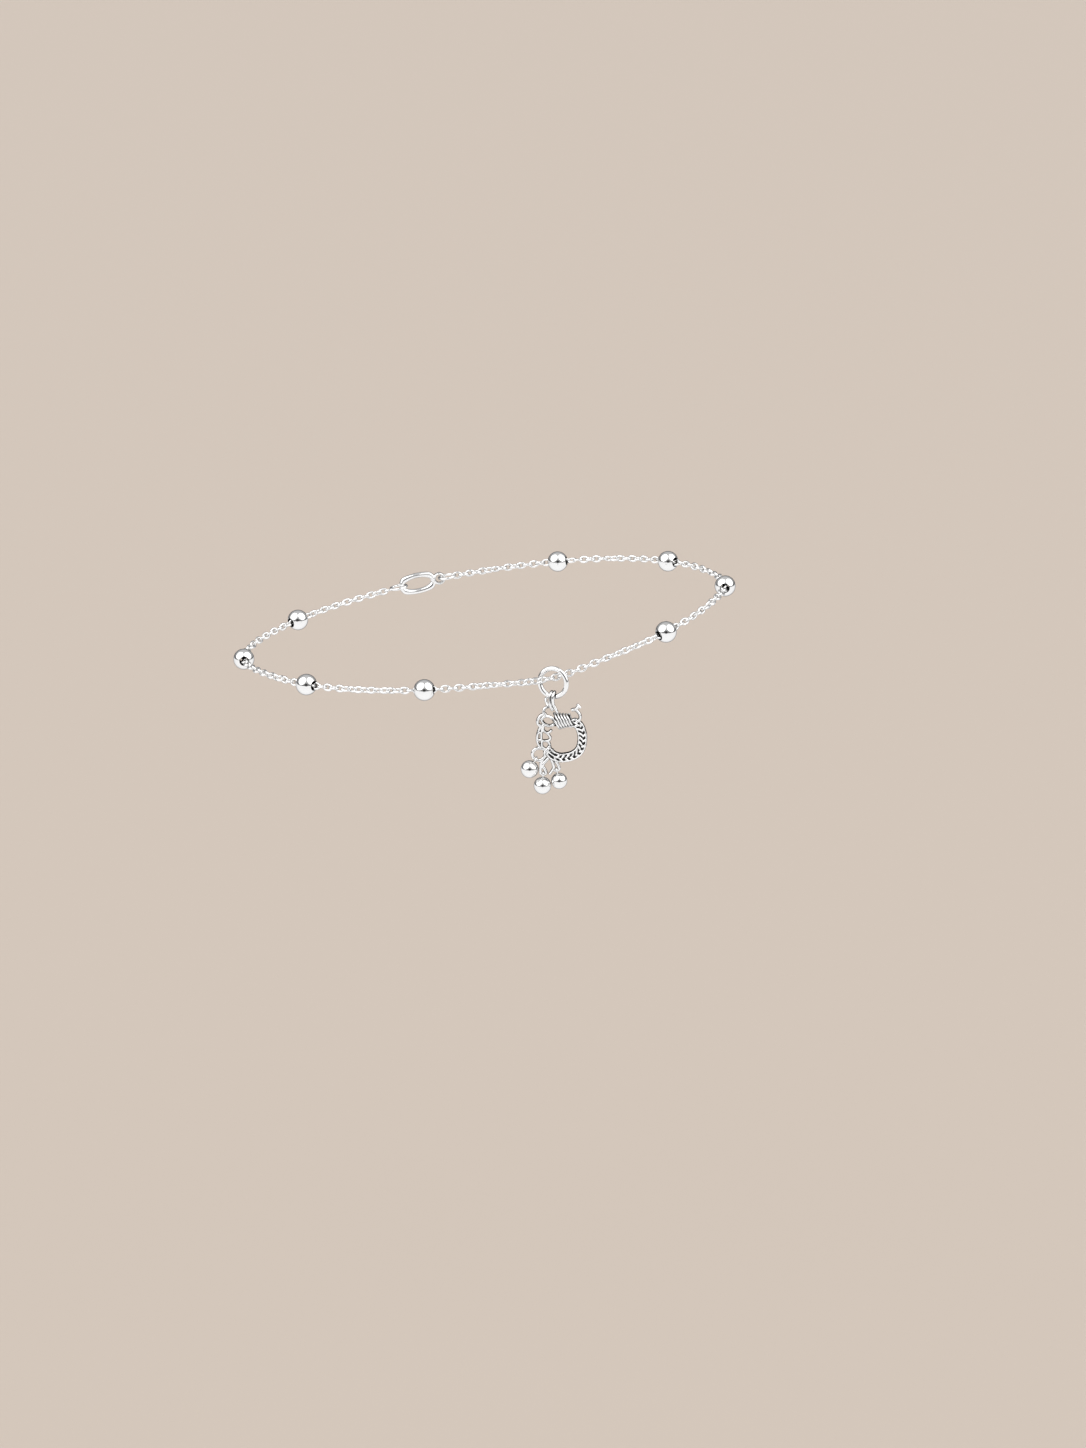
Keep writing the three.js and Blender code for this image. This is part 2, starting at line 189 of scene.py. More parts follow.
# What both finishes share: the noise behind the roughness and behind the scratches
surfaceNoise = {
    "blotchScale": 420.0,
    "blotchDetail": 4.0,
    "blotchRange": (0.35, 0.7),
    "scratchScale": 2600.0,
    "scratchDetail": 6.0,
    "scratchStretch": (1.0, 0.3, 0.12),
    "scratchStrength": 0.25,
    "hollowRange": (0.3, 0.7),
}
silverFinish = {
    "colour": (0.87, 0.865, 0.855),
    "edgeTint": (0.5, 0.5, 0.51),
    "roughness": (0.07, 0.14),
    "scratchHeight": 0.000004,
    # In the polished silver this black is painted shade, used only in the bead bores
    "oxideAndShadeColour": (0.02, 0.019, 0.02),
    "oxideAndShadeRoughness": 0.5,
}
charmFinish = {
    "colour": (0.88, 0.875, 0.865),
    "edgeTint": (0.5, 0.5, 0.51),
    "roughness": (0.12, 0.22),
    "scratchHeight": 0.000007,
    # In the charm this black is its oxide, and painted shade on its sides and inside its coil
    "oxideAndShadeColour": (0.04, 0.037, 0.036),
    "oxideAndShadeRoughness": 0.5,
}


def silverSurface(name, finish):
    # Silver with fine handling scratches, blackened by the mesh's hollow attribute: oxide in the
    # charm's hollows, painted shade in the bead bores and along the charm's sides, and both
    # inside the coil
    material, nodes, links, shader = newMaterial(name)
    shader.inputs["Metallic"].default_value = 1.0
    shader.inputs["Specular Tint"].default_value = (*finish["edgeTint"], 1)
    place = addNode(nodes, "ShaderNodeTexCoord")
    blotches = addNode(nodes, "ShaderNodeTexNoise", Scale=surfaceNoise["blotchScale"],
                       Detail=surfaceNoise["blotchDetail"])
    links.new(place.outputs["Object"], blotches.inputs["Vector"])
    low, high = surfaceNoise["blotchRange"]
    smoothest, roughest = finish["roughness"]
    rough = addNode(nodes, "ShaderNodeMapRange", From_Min=low, From_Max=high, To_Min=smoothest,
                    To_Max=roughest)
    links.new(blotches.outputs["Fac"], rough.inputs["Value"])
    stretch = addNode(nodes, "ShaderNodeMapping")
    stretch.inputs["Scale"].default_value = surfaceNoise["scratchStretch"]
    links.new(place.outputs["Object"], stretch.inputs["Vector"])
    scratches = addNode(nodes, "ShaderNodeTexNoise", Scale=surfaceNoise["scratchScale"],
                        Detail=surfaceNoise["scratchDetail"])
    links.new(stretch.outputs["Vector"], scratches.inputs["Vector"])
    bump = addNode(nodes, "ShaderNodeBump", Strength=surfaceNoise["scratchStrength"],
                   Distance=finish["scratchHeight"])
    links.new(scratches.outputs["Fac"], bump.inputs["Height"])
    links.new(bump.outputs["Normal"], shader.inputs["Normal"])
    hollow = addNode(nodes, "ShaderNodeAttribute", attribute_name="hollow")
    low, high = surfaceNoise["hollowRange"]
    ramp = addNode(nodes, "ShaderNodeMapRange", From_Min=low, From_Max=high,
                   interpolation_type="SMOOTHSTEP")
    links.new(hollow.outputs["Fac"], ramp.inputs["Value"])
    colour = addNode(nodes, "ShaderNodeMix", data_type="RGBA")
    colour.inputs[6].default_value = (*finish["colour"], 1)
    colour.inputs[7].default_value = (*finish["oxideAndShadeColour"], 1)
    links.new(ramp.outputs["Result"], colour.inputs[0])
    links.new(colour.outputs[2], shader.inputs["Base Color"])
    dull = addNode(nodes, "ShaderNodeMix", data_type="FLOAT")
    links.new(ramp.outputs["Result"], dull.inputs[0])
    links.new(rough.outputs["Result"], dull.inputs[2])
    dull.inputs[3].default_value = finish["oxideAndShadeRoughness"]
    links.new(dull.outputs[0], shader.inputs["Roughness"])
    return material


polished = silverSurface("polishedSilver", silverFinish)
oxidised = silverSurface("oxidisedSilver", charmFinish)
print("materials made")

# Shaping helpers, in millimetres


def meshOf(bm, name):
    mesh = bpy.data.meshes.new(name)
    bm.to_mesh(mesh)
    bm.free()
    return mesh


def addMesh(bm, mesh, matrix=None):
    # Adds a finished mesh to a bmesh, moved by the matrix
    before = len(bm.verts)
    bm.from_mesh(mesh)
    if matrix is not None:
        bm.verts.ensure_lookup_table()
        bmesh.ops.transform(bm, matrix=matrix, verts=bm.verts[before:])


def wireMesh(points, diameter, sides=10, stepLength=0.12, taper=None):
    # A round wire: a circle extruded step by step along the points and capped
    path = Route(points, fineness=12)
    count = max(4, round(path.length / stepLength))
    places = path.evenly(count)
    bm = bmesh.new()
    ring = bmesh.ops.create_circle(bm, segments=sides, radius=diameter / 2)["verts"]
    tangents = []
    for i in range(count + 1):
        tangents.append((places[min(i + 1, count)] - places[max(i - 1, 0)]).normalized())
    turn = upward.rotation_difference(tangents[0])
    here = Matrix.Translation(places[0]) @ turn.to_matrix().to_4x4()
    bmesh.ops.transform(bm, matrix=here, verts=ring)
    edges = list(bm.edges)
    firstEdges = list(edges)
    size = 1.0
    for i in range(1, count + 1):
        out = bmesh.ops.extrude_edge_only(bm, edges=edges)["geom"]
        ring = [g for g in out if isinstance(g, bmesh.types.BMVert)]
        edges = [g for g in out if isinstance(g, bmesh.types.BMEdge)]
        turn = tangents[i - 1].rotation_difference(tangents[i]) @ turn
        nextSize = taper(i / count) if taper else 1.0
        there = Matrix.Translation(places[i]) @ turn.to_matrix().to_4x4()
        move = there @ Matrix.Scale(nextSize / size, 4) @ here.inverted()
        bmesh.ops.transform(bm, matrix=move, verts=ring)
        here = there
        size = nextSize
    bmesh.ops.contextual_create(bm, geom=firstEdges)
    bmesh.ops.contextual_create(bm, geom=edges)
    bmesh.ops.recalc_face_normals(bm, faces=bm.faces)
    return meshOf(bm, "wire")


def ringMesh(radius, diameter, steps, sides):
    # A round ring in the XY plane
    bm = bmesh.new()
    ring = bmesh.ops.create_circle(bm, segments=sides, radius=diameter / 2)["verts"]
    stand = Matrix.Translation((radius, 0, 0)) @ Matrix.Rotation(math.radians(90), 4, "X")
    bmesh.ops.transform(bm, matrix=stand, verts=ring)
    bmesh.ops.spin(bm, geom=bm.verts[:] + bm.edges[:], cent=(0, 0, 0), axis=(0, 0, 1),
                   angle=2 * math.pi, steps=steps, use_merge=True)
    bmesh.ops.remove_doubles(bm, verts=bm.verts, dist=0.001)
    bmesh.ops.recalc_face_normals(bm, faces=bm.faces)
    return meshOf(bm, "ring")


def ballMesh(diameter, segments=40):
    bm = bmesh.new()
    bmesh.ops.create_uvsphere(bm, u_segments=segments, v_segments=segments // 2,
                              radius=diameter / 2)
    return meshOf(bm, "ball")


def fuse(bm, voxel):
    # Melts overlapping shells into one surface with soft solder joints
    piece = bpy.data.objects.new("fusing", meshOf(bm, "fusing"))
    bpy.context.scene.collection.objects.link(piece)
    remesh = piece.modifiers.new("fused", "REMESH")
    remesh.mode = "VOXEL"
    remesh.voxel_size = voxel
    smooth = piece.modifiers.new("smooth", "SMOOTH")
    smooth.iterations = 2
    smooth.factor = 0.5
    graph = bpy.context.evaluated_depsgraph_get()
    fused = bmesh.new()
    fused.from_object(piece, graph)
    bpy.data.objects.remove(piece)
    return fused


def finishPiece(name, bm, place, node, body, material):
    # Scales the shape to metres, puts it in place and hands it to the frame
    matrix = Matrix.Translation(place) @ Matrix.Scale(mm, 4)
    bmesh.ops.transform(bm, matrix=matrix, verts=bm.verts)
    for face in bm.faces:
        face.smooth = True
    piece = bpy.data.objects.new(name, meshOf(bm, name))
    piece.data.materials.append(material)
    bpy.context.scene.collection.objects.link(piece)
    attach(piece, body)
    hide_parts(node)
    return piece


def setHollow(piece, values):
    attribute = piece.data.attributes.new("hollow", "FLOAT", "POINT")
    attribute.data.foreach_set("value", np.asarray(values, dtype=np.float32))


def vertexPlaces(piece):
    places = np.empty(len(piece.data.vertices) * 3, dtype=np.float64)
    piece.data.vertices.foreach_get("co", places)
    return places.reshape(-1, 3)


def vertexNormals(piece):
    normals = np.empty(len(piece.data.vertices) * 3, dtype=np.float32)
    piece.data.vertex_normals.foreach_get("vector", normals)
    return normals.reshape(-1, 3)


# How the painted shade on the charm's sides grows as they turn edge-on
flankShade = {"sideways": 1.48, "fall": 2.0}


def flanks(piece):
    # Painted shade: the charm's sides, edge-on to the front view, are blackened as dark outlines
    return flankShade["sideways"] - flankShade["fall"] * np.abs(vertexNormals(piece)[:, 1])


def hollowness(piece, rounds, depth):
    # How far each vertex lies below the smoothed surface, as a share of the depth
    mesh = piece.data
    places = vertexPlaces(piece)
    ends = np.empty(len(mesh.edges) * 2, dtype=np.int32)
    mesh.edges.foreach_get("vertices", ends)
    a, b = ends.reshape(-1, 2).T
    degree = np.bincount(ends, minlength=len(places))[:, None]
    soft = places.copy()
    for _ in range(rounds):
        total = np.zeros_like(soft)
        for axis in range(3):
            total[:, axis] += np.bincount(a, soft[b, axis], len(places))
            total[:, axis] += np.bincount(b, soft[a, axis], len(places))
        soft = total / degree
    below = ((soft - places) * vertexNormals(piece)).sum(1)
    return below / (depth * mm)


# Chain: interlocking oval links, with a round ring at each end for the clasp

chainSetup = {
    "linkLength": 2.18,
    "linkWidth": 1.56,
    "linkWire": 0.44,
    "linkPitch": 1.29,
    "linkSteps": 12,
    "linkSides": 6,
    "rollStart": 8.0,  # degrees from lying flat
    "rollWander": 32.0,
    "rollRandom": 9.0,
    "rollWave": (0.31, 0.6),  # how fast the wander turns from link to link, and its start
    "endRingRadius": 1.6,
    "endRingWire": 0.5,
    "endRingSteps": 40,
    "endRingSides": 12,
    "seed": 11,
}
claspSetup = {
    "length": 9.4,
    "height": 4.2,
    "thickness": 1.2,
    "rim": 1.0,
    "eyeRadius": 1.25,
    "eyeHole": 0.7,
    "ringClearance": 0.2,
    "voxel": 0.07,
}
claspBack = route.length / 2
eyeX = -claspSetup["length"] / 2 + claspSetup["eyeRadius"]
eyeRingX = eyeX - chainSetup["endRingRadius"]
windowRingX = (claspSetup["length"] / 2 - claspSetup["rim"] - chainSetup["endRingWire"] / 2
               - claspSetup["ringClearance"] + chainSetup["endRingRadius"])


def linkMesh(setup):
    # A round ring whose wire is moved out along X, so that it stays as thick at the ends
    radius = (setup["linkWidth"] - setup["linkWire"]) / 2
    bm = bmesh.new()
    bm.from_mesh(ringMesh(radius, setup["linkWire"], setup["linkSteps"], setup["linkSides"]))
    stretch = (setup["linkLength"] - setup["linkWidth"]) / 2
    for vert in bm.verts:
        vert.co.x += stretch * vert.co.x / math.hypot(vert.co.x, vert.co.y)
    return meshOf(bm, "link")


def makeChain(setup):
    link = linkMesh(setup)
    endRing = ringMesh(setup["endRingRadius"], setup["endRingWire"], setup["endRingSteps"],
                       setup["endRingSides"])
    bm = bmesh.new()
    for x in (eyeRingX, windowRingX):
        addMesh(bm, endRing, routeFrame(claspBack) @ Matrix.Translation((x, 0, 0)))
    hold = (setup["linkLength"] - setup["endRingWire"]) / 2 - setup["linkWire"]
    first = claspBack + windowRingX + setup["endRingRadius"] + hold
    last = claspBack + eyeRingX - setup["endRingRadius"] - hold + route.length
    count = round((last - first) / setup["linkPitch"])
    dice = random.Random(setup["seed"])
    waveStep, waveStart = setup["rollWave"]
    for i in range(count + 1):
        wander = setup["rollWander"] * math.sin(waveStep * i + waveStart)
        wander += dice.gauss(0, setup["rollRandom"])
        roll = math.radians(setup["rollStart"] + 90 * (i % 2) + wander)
        place = routeFrame(first + (last - first) * i / count)
        addMesh(bm, link, place @ Matrix.Rotation(roll, 4, "X"))
    finishPiece("chainLinks", bm, (0, 0, 0), "chain", "anklet", polished)
    print("chain made of", count + 1, "links")


makeChain(chainSetup)

# Beads, each drilled through for the chain

beadSetup = {
    "diameter": 4.0,
    "bore": 1.7,
    "spacing": 24.1,
    "eachSide": 4,
    "rimBevel": 0.06,
    "boreShade": 1.3,  # painted shade in the bore: how black the bore is, and how fast that fades outwards, for each mm
    "boreShadeFade": 10.0,
}


def beadMesh(setup):
    radius = setup["diameter"] / 2
    cut = math.sqrt(radius**2 - (setup["bore"] / 2) ** 2)
    bm = bmesh.new()
    bmesh.ops.create_uvsphere(bm, u_segments=40, v_segments=32, radius=radius)
    for side in (-1, 1):
        bmesh.ops.bisect_plane(bm, geom=bm.verts[:] + bm.edges[:] + bm.faces[:], dist=0.0001,
                               plane_co=(0, 0, side * cut), plane_no=(0, 0, side),
                               clear_outer=True)
    rims = [e for e in bm.edges if e.is_boundary]
    bmesh.ops.bridge_loops(bm, edges=rims)
    bmesh.ops.bevel(bm, geom=rims, affect="EDGES", offset=setup["rimBevel"], segments=2,
                    profile=0.5, material=-1)
    bmesh.ops.recalc_face_normals(bm, faces=bm.faces)
    alongX = Matrix.Rotation(math.radians(90), 4, "Y")
    bmesh.ops.transform(bm, matrix=alongX, verts=bm.verts)
    return meshOf(bm, "bead")


def makeBeads(setup):
    bead = beadMesh(setup)
    for place in range(1, setup["eachSide"] + 1):
        for side, sign in (("right", 1), ("left", -1)):
            bm = bmesh.new()
            here = routeFrame(sign * place * setup["spacing"])
            addMesh(bm, bead, here)
            node = f"bead_{side}_{place}"
            piece = finishPiece(f"bead{side.title()}{place}", bm, (0, 0, 0), node, "anklet",
                                polished)
            axis = np.array(here.col[0][:3])
            places = vertexPlaces(piece) / mm - np.array(here.translation)
            fromAxis = np.linalg.norm(places - np.outer(places @ axis, axis), axis=1)
            fromBore = fromAxis - setup["bore"] / 2
            # Painted shade: each bead's bore is blackened, fading out across its rim
            setHollow(piece, setup["boreShade"] - setup["boreShadeFade"] * fromBore)
    print("beads made")


makeBeads(beadSetup)

# Clasp: a rounded oval body with a window, and an eye at one end


def ovalRing(halfLength, halfHeight, rim, thickness, x):
    # A rounded ring in the XZ plane, stretched to an oval of even rim
    radius = halfHeight - rim / 2
    bm = bmesh.new()
    addMesh(bm, ringMesh(radius, rim, 48, 16))
    bmesh.ops.scale(bm, vec=(1, 1, thickness / rim), verts=bm.verts)
    stretch = halfLength - halfHeight
    for vert in bm.verts:
        vert.co.x += stretch * max(-1.0, min(1.0, vert.co.x / (0.7 * radius)))
    turn = Matrix.Translation((x, 0, 0)) @ Matrix.Rotation(math.radians(90), 4, "X")
    bmesh.ops.transform(bm, matrix=turn, verts=bm.verts)
    return meshOf(bm, "oval")


def makeClasp(setup):
    bodyHalf = (setup["length"] - setup["eyeRadius"] - setup["eyeHole"]) / 2
    bodyX = setup["length"] / 2 - bodyHalf
    bm = bmesh.new()
    addMesh(bm, ovalRing(bodyHalf, setup["height"] / 2, setup["rim"], setup["thickness"], bodyX))
    eyeRim = setup["eyeRadius"] - setup["eyeHole"]
    eye = ovalRing(setup["eyeRadius"], setup["eyeRadius"], eyeRim, setup["thickness"], eyeX)
    addMesh(bm, eye)
    bm = fuse(bm, setup["voxel"])
    bmesh.ops.transform(bm, matrix=routeFrame(claspBack), verts=bm.verts)
    finishPiece("claspBody", bm, (0, 0, 0), "clasp", "anklet", polished)
    print("clasp made")


makeClasp(claspSetup)

# Jump ring

ringSetup = {"outer": 6.26, "wire": 0.92, "turn": -23.0, "steps": 72, "sides": 20}
ringRadius = (ringSetup["outer"] - ringSetup["wire"]) / 2
ringLow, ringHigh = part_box("jump_ring")
ringCentre = (ringLow + ringHigh) / 2


def makeJumpRing(setup):
    bm = bmesh.new()
    stand = (Matrix.Rotation(math.radians(setup["turn"]), 4, "Z")
             @ Matrix.Rotation(math.radians(90), 4, "X"))
    addMesh(bm, ringMesh(ringRadius, setup["wire"], setup["steps"], setup["sides"]), stand)
    finishPiece("jumpRing", bm, ringCentre, "jump_ring", "ring", polished)
    print("jump ring made")


makeJumpRing(ringSetup)

# Charm: everything below is measured from the middle of the jump ring

hoopSetup = {
    "radius": 3.3,
    "right": 1.88,
    "drop": 8.3,
    "bandWidth": 1.5,
    "bandThickness": 0.84,
    "bandEdge": 0.68,  # from the band's middle line to the wire along each edge
    "edgeWidth": 0.44,
    "edgeThickness": 1.3,
    "chevronPitch": 0.97,
    "chevronEnd": 0.87,  # share of the band's length that carries chevrons
    "openworkWire": 0.54,
    "rosetteWire": 0.61,
    "openworkThickness": 0.95,
    "dropLoopWire": 0.62,
    "voxel": 0.062,
    "edgePlaces": 24,
    "hollowRounds": 34,
    "hollowDepth": 0.09,
    "seed": 7,
}


def hoopPoint(right, up, depth=0.0):
    return Vector((hoopSetup["right"] + right * hoopSetup["radius"], depth,
                   -ringRadius - hoopSetup["drop"] + up * hoopSetup["radius"]))


def ringPoint(along, across, above):
    turned = Vector((along, across, above - ringRadius))
    turned.rotate(Matrix.Rotation(math.radians(ringSetup["turn"]), 3, "Z"))
    return turned


# Bail: the wire that hooks on the jump ring, bends into a small open loop and wraps the hoop

bailSetup = {
    "wire": 0.56,
    "clear": 0.8,  # from the middle of the ring's wire to the middle of the hook's
    "coilWire": 0.43,
    "turns": 5.75,
    "leftRadius": 1.45,
    "rightRadius": 0.95,
    "leftSlant": 0.72,
    "rightSlant": 0.45,
    "endBall": 0.57,
    "voxel": 0.05,
    "hollowRounds": 30,
    "hollowDepth": 0.05,
    "stepsPerTurn": 20,
    "innerBlack": 1.25,  # oxide and painted shade: how black the coil is at its middle line, and how that fades outwards
    "innerFade": 2.5,
    "blackShare": (-0.25, 0.92),  # the stretch of the coil that is blackened inside
    "blackReach": 0.75,
}
coilStart = hoopPoint(-0.42, 1.11)
coilEnd = hoopPoint(0.47, 1.18)


def coilPoint(turn):
    share = turn / bailSetup["turns"]
    radius = bailSetup["leftRadius"] * (1 - share) + bailSetup["rightRadius"] * share
    slant = bailSetup["leftSlant"] * (1 - share) + bailSetup["rightSlant"] * share
    angle = turn * 2 * math.pi
    offset = Vector((slant * math.sin(angle), -radius * math.cos(angle),
                     -radius * math.sin(angle)))
    return coilStart.lerp(coilEnd, share) + offset


def makeBail(setup):
    clear = setup["clear"]
    hook = [
        coilPoint(1.8), hoopPoint(-0.36, 1.7, -0.9 * clear), hoopPoint(-0.45, 1.88, -clear),
        hoopPoint(-0.55, 2.1, -clear), ringPoint(0.27, -1.05 * clear, -0.2),
        ringPoint(0.27, -0.8 * clear, 0.6 * clear), ringPoint(0.27, 0, 1.12 * clear),
        ringPoint(0.0, 0.88 * clear, 0.72 * clear), ringPoint(-0.9, 1.25 * clear, 0.1),
        hoopPoint(-0.98, 2.31, 0.6), hoopPoint(-0.91, 2.11, 0.3), hoopPoint(-0.84, 1.93, 0.0),
    ]
    openLoop = [
        hoopPoint(-0.84, 1.93, 0.0), hoopPoint(-0.96, 1.9, -0.2), hoopPoint(-1.06, 1.81, -0.35),
        hoopPoint(-1.1, 1.68, -0.45), hoopPoint(-1.05, 1.54, -0.5),
        hoopPoint(-0.92, 1.44, -0.6), hoopPoint(-0.7, 1.4, -1.0), coilPoint(0),
    ]
    secondStrand = [
        hoopPoint(-0.62, 1.82, -clear), hoopPoint(-0.7, 1.98, -clear),
        hoopPoint(-0.73, 2.15, -clear), ringPoint(-0.27, -1.05 * clear, -0.2),
        ringPoint(-0.27, -0.8 * clear, 0.6 * clear), ringPoint(-0.27, 0, 1.12 * clear),
        ringPoint(-0.27, 0.8 * clear, 0.6 * clear),
    ]
    coilSteps = round(setup["turns"] * setup["stepsPerTurn"])
    coil = [coilPoint(setup["turns"] * i / coilSteps) for i in range(coilSteps + 1)]
    bm = bmesh.new()
    for points, size in ((hook, setup["wire"]), (openLoop, setup["wire"]),
                         (secondStrand, setup["wire"]), (coil, setup["coilWire"])):
        addMesh(bm, wireMesh(points, size, sides=12, stepLength=0.1))
    for place in (secondStrand[0], openLoop[0]):
        addMesh(bm, ballMesh(1.1 * setup["wire"], 16), Matrix.Translation(place))
    addMesh(bm, ballMesh(setup["endBall"], 16), Matrix.Translation(coil[-1]))
    bm = fuse(bm, setup["voxel"])
    piece = finishPiece("bailWire", bm, ringCentre, "bail", "charm", oxidised)
    shadeCoil(piece, setup)
    print("bail made with", len(piece.data.vertices), "vertices")


def coilReach(piece):
    # Where each vertex is along the coil, the coil's radius there, and how far out the vertex is
    places = (vertexPlaces(piece) - np.array(ringCentre)) / mm
    start, end = np.array(coilStart), np.array(coilEnd)
    axis = end - start
    share = (places - start) @ axis / (axis @ axis)
    nearest = start + np.clip(share, 0, 1)[:, None] * axis
    thinning = bailSetup["rightRadius"] - bailSetup["leftRadius"]
    radius = bailSetup["leftRadius"] + thinning * share
    return share, radius, np.linalg.norm(places - nearest, axis=1)


def shadeCoil(piece, setup):
    # Painted shade along the flanks, and oxide with painted shade on the inner side of the
    # coil's turns
    share, radius, distance = coilReach(piece)
    reach = (distance - radius) / setup["coilWire"]
    inside = setup["innerBlack"] - setup["innerFade"] * reach
    first, last = setup["blackShare"]
    coilOnly = (share > first) & (share < last) & (reach < setup["blackReach"])
    hollow = hollowness(piece, setup["hollowRounds"], setup["hollowDepth"])
    setHollow(piece, np.maximum(hollow, np.where(coilOnly, inside, flanks(piece))))


makeBail(bailSetup)

# Hoop: lines are shares of the hoop's radius, measured from the middle of its hole

bandLine = [
    (0.66, 0.98), (0.8, 0.92), (0.91, 0.8), (0.99, 0.62), (1.055, 0.4), (1.08, 0.17),
    (1.07, -0.08), (1.03, -0.32), (0.915, -0.595), (0.69, -0.81), (0.4, -0.95), (0.15, -1.0),
    (-0.07, -1.025), (-0.3, -1.0), (-0.495, -0.925), (-0.675, -0.815), (-0.785, -0.64),
]
chevronBar = {"width": 0.62, "thickness": 1.45, "stepLength": 0.06, "placeWander": 0.06,
              "slantWander": 5.0}
chevronRows = [
    {"start": 0.55, "offset": -0.28, "length": 1.2, "slant": -44.0},
    {"start": 0.95, "offset": 0.36, "length": 1.06, "slant": 46.0},
]
# The hoop's top, inside the coil
coreSetup = {"line": [(-0.5, 1.11), (-0.2, 1.13), (0.1, 1.16), (0.4, 1.17)], "left": 1.06,
             "right": 0.6}
openworkLines = [
    # outer edge, middle wire and the rungs between them
    [(-1.25, 0.84), (-1.37, 0.57), (-1.45, 0.28), (-1.46, -0.01), (-1.39, -0.26), (-1.3, -0.46)],
    [(-1.09, 0.87), (-1.17, 0.75), (-1.21, 0.5), (-1.24, 0.21), (-1.21, -0.12), (-1.19, -0.37),
     (-1.08, -0.48), (-0.96, -0.56)],
    [(-1.4, 0.43), (-1.21, 0.41)],
    [(-1.45, -0.01), (-1.22, 0.03)],
    # bow under the rosette with its tooth, down to the second tooth
    [(-1.09, 0.86), (-1.13, 0.68), (-1.08, 0.53), (-0.92, 0.41), (-0.8, 0.28), (-0.7, 0.1)],
    [(-0.94, 0.42), (-0.78, 0.46), (-0.65, 0.6)],
    # under the middle hole and round the lower hole
    [(-0.7, 0.1), (-0.8, -0.01), (-0.92, -0.04), (-1.06, -0.05), (-1.22, -0.03)],
    [(-0.92, -0.04), (-0.8, -0.17), (-0.76, -0.28), (-0.85, -0.44), (-0.96, -0.64),
     (-1.1, -0.76)],
    # top of the left ball's loop, and the short end beside the right ball's loop
    [(-1.0, -0.6), (-1.17, -0.5), (-1.38, -0.48), (-1.52, -0.48)],
    [(-0.53, -1.62), (-0.65, -1.83), (-0.78, -2.0)],
]
bandEndLines = [
    # the band's upper edge carried up, and its middle and lower wires
    [(-0.46, -0.74), (-0.62, -0.62), (-0.71, -0.45), (-0.76, -0.26)],
    [(-0.2, -1.05), (-0.38, -0.98), (-0.55, -0.89), (-0.72, -0.77), (-0.84, -0.64),
     (-0.8, -0.46)],
    [(-0.5, -1.16), (-0.7, -1.04), (-0.86, -0.84), (-0.9, -0.64)],
    # the grain that closes the band beside the coil
    [(0.56, 1.05), (0.7, 0.98), (0.84, 0.9)],
]
rosetteLines = [
    [(-0.94, 1.5), (-1.09, 1.5), (-1.27, 1.41), (-1.4, 1.23), (-1.44, 1.04), (-1.38, 0.89),
     (-1.22, 0.83), (-1.02, 0.88)],
    [(-0.86, 1.4), (-1.08, 1.35), (-1.22, 1.18), (-1.15, 1.04), (-1.01, 0.9), (-0.81, 0.83),
     (-0.62, 0.86), (-0.52, 0.95)],
]
curlLines = [
    [(0.46, 1.71), (0.59, 1.77), (0.73, 1.72), (0.86, 1.59), (0.95, 1.42), (0.94, 1.26),
     (0.86, 1.13), (0.74, 1.03)],
    [(0.68, 1.72), (0.76, 1.84), (0.87, 1.95)],
    # from the coil to the base of the curl, and to the band's inner edge
    [(0.4, 1.12), (0.5, 1.13), (0.62, 1.19), (0.78, 1.18)],
    [(0.28, 0.86), (0.42, 0.8), (0.56, 0.84), (0.66, 0.78)],
]
curlCap = {"place": (0.88, 1.95), "length": 1.0, "base": 0.3, "top": 0.24, "tilt": 45.0}
dropLoops = [
    {"node": "ball_left", "diameter": 3.3, "hang": -30.5, "bottom": (-1.56, -1.14),
     "bend": 0.353, "bendHalfAngle": 110, "left": [(-1.2, -0.5), (-1.4, -0.48)],
     "right": [(-1.0, -0.68)]},
    {"node": "ball_middle", "diameter": 3.26, "hang": -3, "bottom": (-1.13, -2.01),
     "bend": 0.165, "bendHalfAngle": 75,
     "left": [(-0.85, -0.7), (-0.97, -0.88), (-1.14, -1.1), (-1.25, -1.32), (-1.28, -1.56)],
     "right": [(-1.05, -1.68), (-1.15, -1.52), (-1.09, -1.36), (-0.92, -1.16), (-0.76, -0.98)]},
    {"node": "ball_right", "diameter": 3.02, "hang": 12, "bottom": (-0.35, -1.79),
     "bend": 0.165, "bendHalfAngle": 75,
     "left": [(-0.68, -1.1), (-0.58, -1.34), (-0.53, -1.54)],
     "right": [(-0.28, -1.47), (-0.38, -1.28), (-0.52, -1.12)]},
]


def castWire(bm, line, width, thickness):
    # A cast wire is deeper from front to back than it is wide; shares become places first
    points = [hoopPoint(*p) if len(p) == 2 else p for p in line]
    mesh = wireMesh(points, width, sides=12, stepLength=0.15)
    addMesh(bm, mesh, Matrix.Scale(thickness / width, 4, (0, 1, 0)))


def hangDirection(loop):
    hang = math.radians(loop["hang"])
    return Vector((math.sin(hang), 0, -math.cos(hang)))


def loopLine(loop):
    down = hangDirection(loop)
    bend = loop["bend"] * hoopSetup["radius"]
    centre = hoopPoint(*loop["bottom"]) - bend * down
    arcSteps = math.ceil(loop["bendHalfAngle"] / 15)
    points = [hoopPoint(*p) for p in loop["left"]]
    for i in range(-arcSteps, arcSteps + 1):
        turn = Matrix.Rotation(-math.radians(loop["bendHalfAngle"] * i / arcSteps), 3, "Y")
        points.append(centre + bend * (turn @ down))
    return points + [hoopPoint(*p) for p in loop["right"]]


